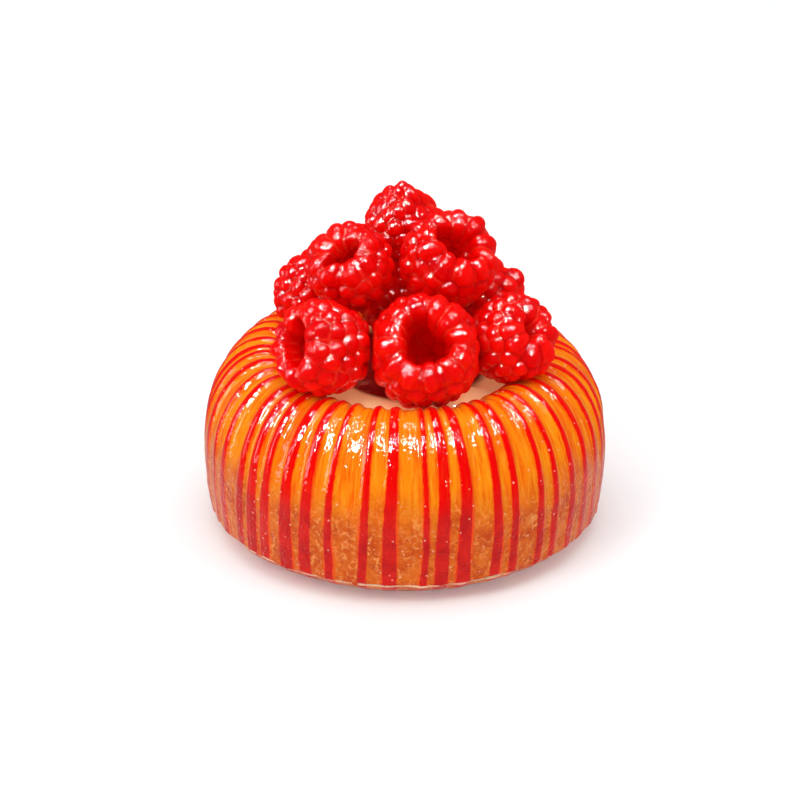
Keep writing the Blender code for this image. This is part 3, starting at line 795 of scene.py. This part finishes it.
def berry_mesh(name):
    """The smooth wall pushed in along its normals so that each drupelet is a round bead, unevenly
    swollen, then turned, set in the pile and squeezed by its neighbours."""
    place, size, mouth, long_way, (wide, narrow), drupelet_width, columns, rows = BERRIES[name]
    draws = np.random.default_rng(list(BERRIES).index(name) + 100)
    shares, _, _ = even_shares(wide, narrow, size, rows + 2)
    share = shares[1:-1, None] + np.zeros((1, columns))
    turn = np.arange(columns)[None, :] * 2 * math.pi / columns + 0 * share
    smooth = berry_wall(share, turn, wide, narrow) * size
    seed_share, seed_turn, owners, widths = drupelet_seeds(draws, wide, narrow, size, drupelet_width)
    centres = berry_wall(seed_share, seed_turn, wide, narrow) * size
    cell, distance, edge = drupelet_cells(smooth, centres, owners)
    reach = BEAD_RADIUS * widths[cell]
    bead = np.sqrt(1 - np.clip(distance / reach, 0, BEAD_CUT) ** 2)
    swollen = draws.uniform(-SWELLING, SWELLING, len(widths))[cell] * smoothstep(0.0, 0.8, edge)
    swollen = swollen * np.where(share > COLLAR_TOP, 2.0, 1.0)
    uneven = 0.5 * soft_noise(smooth + 50, 7.0, 60) + 0.06 * soft_noise(smooth, 1.3, 61)
    press = BEAD_STRENGTH * reach * (bead - 1) + swollen + uneven
    local = smooth + surface_normals(smooth) * press[..., None]
    axes = berry_axes(mouth, long_way)
    if name == "top":
        local = tapered(local, axes, size)
    world = resting(pressed(np.array(place) + local @ axes, name))
    ends = world[0].mean(axis=0), world[-1].mean(axis=0)
    # a point that keeps one radius while it follows the section, so that wrinkles run across the collar
    along = np.interp(share, *even_shares(wide, narrow, size, 2)[1:])
    skin = np.stack([size * np.cos(turn), size * np.sin(turn), 0.16 * along], axis=-1)
    values = {
        "skin": skin,
        "collar": smoothstep(EGG_END, COLLAR_TOP, share) * smoothstep(COLLAR_END, COLLAR_TOP, share),
        "groove": edge,
        "tint": draws.uniform(-1, 1, len(widths))[cell],
        "inside": smoothstep(COLLAR_TOP, COLLAR_END, share),
    }
    return closed_mesh("raspberry_" + name, world, ends[0], ends[1], values)


def glazed_raspberry():
    """Raspberry flesh under clear glaze: juicy cells of deeper and brighter reds, bright where light has
    spread inside them, painted a deeper red in the hollow as shade, and with lines painted in the grooves:
    dark as shade in some and pale as light in others."""
    material, tree, shader = new_material("glazed_raspberry_flesh")
    groove = add_node(tree, "Attribute", {}, attribute_name="groove").outputs["Fac"]
    tint = add_node(tree, "Attribute", {}, attribute_name="tint").outputs["Fac"]
    inside = add_node(tree, "Attribute", {}, attribute_name="inside").outputs["Fac"]
    place = add_node(tree, "TexCoord", {}).outputs["Object"]

    # pulp mottled every 2.4 mm, and lines 0.7 mm wide in the grooves: painted shade in dark red, and over
    # stretches of 6 mm painted light in pale red
    pulp = add_node(tree, "TexNoise", {"Vector": place, "Scale": 420.0, "Detail": 3.0, "Roughness": 0.55})
    shade = add_node(tree, "Math", {0: tint, 1: 0.32, 2: pulp.outputs[0]}, operation="MULTIPLY_ADD")
    flesh = add_node(
        tree,
        "Mix",
        {0: shade.outputs[0], 6: linear(FLESH_DEEP), 7: linear(FLESH_BRIGHT)},
        data_type="RGBA",
    )
    share = add_node(tree, "MapRange", {"Value": groove, "From Max": 0.35, "To Min": 0.5, "To Max": 0.0})
    gathered = add_node(tree, "TexNoise", {"Vector": place, "Scale": 170.0, "Detail": 1.0})
    pale = add_node(tree, "MapRange", {"Value": gathered.outputs[0], "From Min": 0.45, "From Max": 0.6})
    groove_painted_light_and_shade = add_node(
        tree, "Mix", {0: pale.outputs[0], 6: linear(GROOVE_PAINTED_SHADE), 7: linear(GROOVE_PAINTED_LIGHT)}, data_type="RGBA"
    )
    lined = add_node(
        tree,
        "Mix",
        {0: share.outputs[0], 6: flesh.outputs[2], 7: groove_painted_light_and_shade.outputs[2]},
        data_type="RGBA",
    )
    # painted shade: the hollow is mixed a quarter of the way towards a deeper red
    hollow_shade_share = add_node(tree, "Math", {0: inside, 1: 0.25}, operation="MULTIPLY")
    coloured = add_node(
        tree, "Mix", {0: hollow_shade_share.outputs[0], 6: lined.outputs[2], 7: linear(HOLLOW_PAINTED_SHADE)}, data_type="RGBA"
    )
    tree.links.new(coloured.outputs[2], shader.inputs["Base Color"])
    shader.inputs["Roughness"].default_value = 0.28
    shader.inputs["Subsurface Weight"].default_value = 0.85
    shader.inputs["Subsurface Radius"].default_value = (1.0, 0.10, 0.05)
    shader.inputs["Subsurface Scale"].default_value = 0.0028
    # painted glow: the hollow emits red light of its own, standing in for light that the thin wall lets in
    hollow_glow_strength = add_node(tree, "Math", {0: inside, 1: 0.06}, operation="MULTIPLY")
    tree.links.new(hollow_glow_strength.outputs[0], shader.inputs["Emission Strength"])
    shader.inputs["Emission Color"].default_value = linear(HOLLOW_PAINTED_GLOW)

    # only the glaze shines. It is thin in the hollow, and where it turns away it would mirror the tent
    # and pale the red, so it thins out there too
    turned_away = add_node(tree, "LayerWeight", {"Blend": 0.5}).outputs["Facing"]
    glaze = add_node(
        tree,
        "MapRange",
        {"Value": turned_away, "From Min": 0.6, "From Max": 0.95, "To Min": 1.0, "To Max": 0.1},
    )
    open_share = add_node(tree, "Math", {0: inside, 1: -0.85, 2: 1.0}, operation="MULTIPLY_ADD")
    glazed = add_node(tree, "Math", {0: glaze.outputs[0], 1: open_share.outputs[0]}, operation="MULTIPLY")
    tree.links.new(glazed.outputs[0], shader.inputs["Coat Weight"])
    shader.inputs["Coat Roughness"].default_value = 0.02
    shader.inputs["Coat IOR"].default_value = 1.40
    shader.inputs["Specular IOR Level"].default_value = 0.0

    # relief too fine for the mesh: ripples of the skin, waves in the glaze, wrinkles across the collar
    skin = add_node(tree, "Attribute", {}, attribute_name="skin").outputs["Vector"]
    collar = add_node(tree, "Attribute", {}, attribute_name="collar").outputs["Fac"]
    ripple = add_node(tree, "TexNoise", {"Vector": place, "Scale": 480.0, "Detail": 2.0, "Distortion": 1.0})
    bump = add_node(tree, "Bump", {"Height": ripple.outputs[0], "Strength": 0.5, "Distance": 0.0004})
    tree.links.new(bump.outputs["Normal"], shader.inputs["Normal"])
    wrinkles = add_node(tree, "TexNoise", {"Vector": skin, "Scale": 1.1, "Detail": 1.0, "Distortion": 0.4})
    wrinkled = add_node(tree, "Math", {0: wrinkles.outputs[0], 1: collar}, operation="MULTIPLY")
    film = add_node(tree, "TexNoise", {"Vector": place, "Scale": 380.0, "Detail": 0.0, "Distortion": 0.8})
    creased = add_node(
        tree, "Math", {0: wrinkled.outputs[0], 1: 1.5, 2: film.outputs[0]}, operation="MULTIPLY_ADD"
    )
    wet = add_node(tree, "Bump", {"Height": creased.outputs[0], "Strength": 1.0, "Distance": 0.00011})
    tree.links.new(wet.outputs["Normal"], shader.inputs["Coat Normal"])
    return material


raspberry = glazed_raspberry()
for berry in BERRIES:
    add_piece(berry_mesh(berry), raspberry, "berry_" + berry)

# The stage
# A white sheet under the tart, wide enough for every view, which is not part of it.

SHEET_HALF_WIDTH = 1.6
SHEET_DROP = 0.0001
CORNER_SIGNS = ((-1, -1), (1, -1), (1, 1), (-1, 1))
CARD_WHITE = "DFE3E4"
CARD_GLOW = "FFFFFF"

sheet_mesh = bpy.data.meshes.new("white_sheet")
sheet_corners = [(x * SHEET_HALF_WIDTH, y * SHEET_HALF_WIDTH, -SHEET_DROP) for x, y in CORNER_SIGNS]
sheet_mesh.from_pydata(sheet_corners, [], [(0, 1, 2, 3)])
sheet = bpy.data.objects.new("white_sheet", sheet_mesh)
bpy.context.scene.collection.objects.link(sheet)
card, _, card_shader = new_material("white_card")
# the card glows a little, so that it stays white up to the contact shadow
card_shader.inputs["Base Color"].default_value = linear(CARD_WHITE)
card_shader.inputs["Emission Color"].default_value = linear(CARD_GLOW)
card_shader.inputs["Emission Strength"].default_value = 0.19
card_shader.inputs["Roughness"].default_value = 0.7
sheet_mesh.materials.append(card)
sheet.visible_glossy = False  # mirrored in the tart's side it would lay a white veil there

# Light and camera
# A white tent with a large soft light overhead and weaker ones at the front left, right and behind,
# as food is lit for a white page. Six windows, which only gloss shows, draw the shine on the glaze.

TENT_WHITE = "FFFFFF"
TENT_LIGHT = 0.45
TENT_IN_GLOSS = 0.10
TENT_SEEN = 1.0

world = bpy.data.worlds.new("white_tent")
bpy.context.scene.world = world
world.use_nodes = True
tent = world.node_tree
ray = add_node(tent, "LightPath", {})
# the tent is nearly dark in reflections, so that the gloss shows the lights and little else
tent_strength = add_node(
    tent,
    "MapRange",
    {"Value": ray.outputs["Is Glossy Ray"], "To Min": TENT_LIGHT, "To Max": TENT_IN_GLOSS},
)
seen_strength = add_node(
    tent,
    "Math",
    {0: ray.outputs["Is Camera Ray"], 1: TENT_SEEN - TENT_LIGHT, 2: tent_strength.outputs[0]},
    operation="MULTIPLY_ADD",
)
tent.links.new(seen_strength.outputs[0], tent.nodes["Background"].inputs["Strength"])
tent.nodes["Background"].inputs["Color"].default_value = linear(TENT_WHITE)


def softbox(name, place, aim, width, depth, power, diffuse=True, gloss=True):
    """A rectangular light at a place in metres, aimed at a point. diffuse and gloss say what shows it."""
    light = bpy.data.lights.new(name, "AREA")
    light.shape = "RECTANGLE"
    light.size, light.size_y = width, depth
    light.energy = power
    holder = bpy.data.objects.new(name, light)
    holder.location = place
    holder.rotation_euler = (Vector(aim) - Vector(place)).to_track_quat("-Z", "Y").to_euler()
    holder.visible_camera = False
    holder.visible_diffuse = diffuse
    holder.visible_glossy = gloss
    bpy.context.scene.collection.objects.link(holder)


softbox("overhead", (0.0, 0.0, 1.1), (0, 0, 0), 1.4, 1.4, 9.6, gloss=False)
softbox("left_key", (-0.45, -0.45, 0.60), (0, 0, 0.04), 0.35, 0.35, 1.6, gloss=False)
softbox("right_fill", (0.60, -0.30, 0.45), (0, 0, 0.03), 0.40, 0.40, 0.7, gloss=False)
softbox("shoulder_gloss", (0.0, 0.06, 0.70), (0, 0, 0.03), 0.34, 0.12, 2.4, diffuse=False)
softbox("front_window", (0.04, -0.30, 0.62), (0, 0, 0.03), 0.22, 0.16, 7.0, diffuse=False)
softbox("left_window", (-0.40, -0.36, 0.56), (0, 0, 0.04), 0.20, 0.26, 17.0, diffuse=False)
softbox("left_rim", (-0.75, -0.10, 0.18), (0, 0, 0.02), 0.30, 0.50, 3.0, diffuse=False)
softbox("right_window", (0.40, -0.22, 0.60), (0, 0, 0.04), 0.10, 0.16, 3.0, diffuse=False)
softbox("high_window", (-0.22, 0.02, 0.72), (0, 0, 0.04), 0.09, 0.09, 1.5, diffuse=False)
softbox("back_left", (-0.75, 0.85, 0.25), (0, 0, 0.03), 0.7, 0.6, 1.6, gloss=False)
softbox("back_right", (0.75, 0.85, 0.25), (0, 0, 0.03), 0.7, 0.6, 1.6, gloss=False)

CAMERA_ELEVATION = math.radians(27.26)
CAMERA_DISTANCE = 0.6718
CAMERA_TARGET = Vector((0.0, 0.0, 0.020))
AIM_RAISE = 0.00525
AIM_LEFT = 0.00106
CAMERA_ROLL = math.radians(0.32)
LENS_MM = 142.3

towards_camera = Vector((0.0, -math.cos(CAMERA_ELEVATION), math.sin(CAMERA_ELEVATION)))
picture_up = Vector((0.0, math.sin(CAMERA_ELEVATION), math.cos(CAMERA_ELEVATION)))
camera_data = bpy.data.cameras.new("camera")
camera_data.lens = LENS_MM
camera_data.sensor_width = 36.0
camera = bpy.data.objects.new("camera", camera_data)
bpy.context.scene.collection.objects.link(camera)
camera.location = CAMERA_TARGET + towards_camera * CAMERA_DISTANCE
aim_point = CAMERA_TARGET + picture_up * AIM_RAISE - Vector((AIM_LEFT, 0, 0))
looking = (aim_point - camera.location).to_track_quat("-Z", "Y").to_matrix()
camera.rotation_euler = (looking @ Matrix.Rotation(CAMERA_ROLL, 3, "Z")).to_euler()
bpy.context.scene.camera = camera
bpy.context.scene.view_settings.view_transform = "Standard"
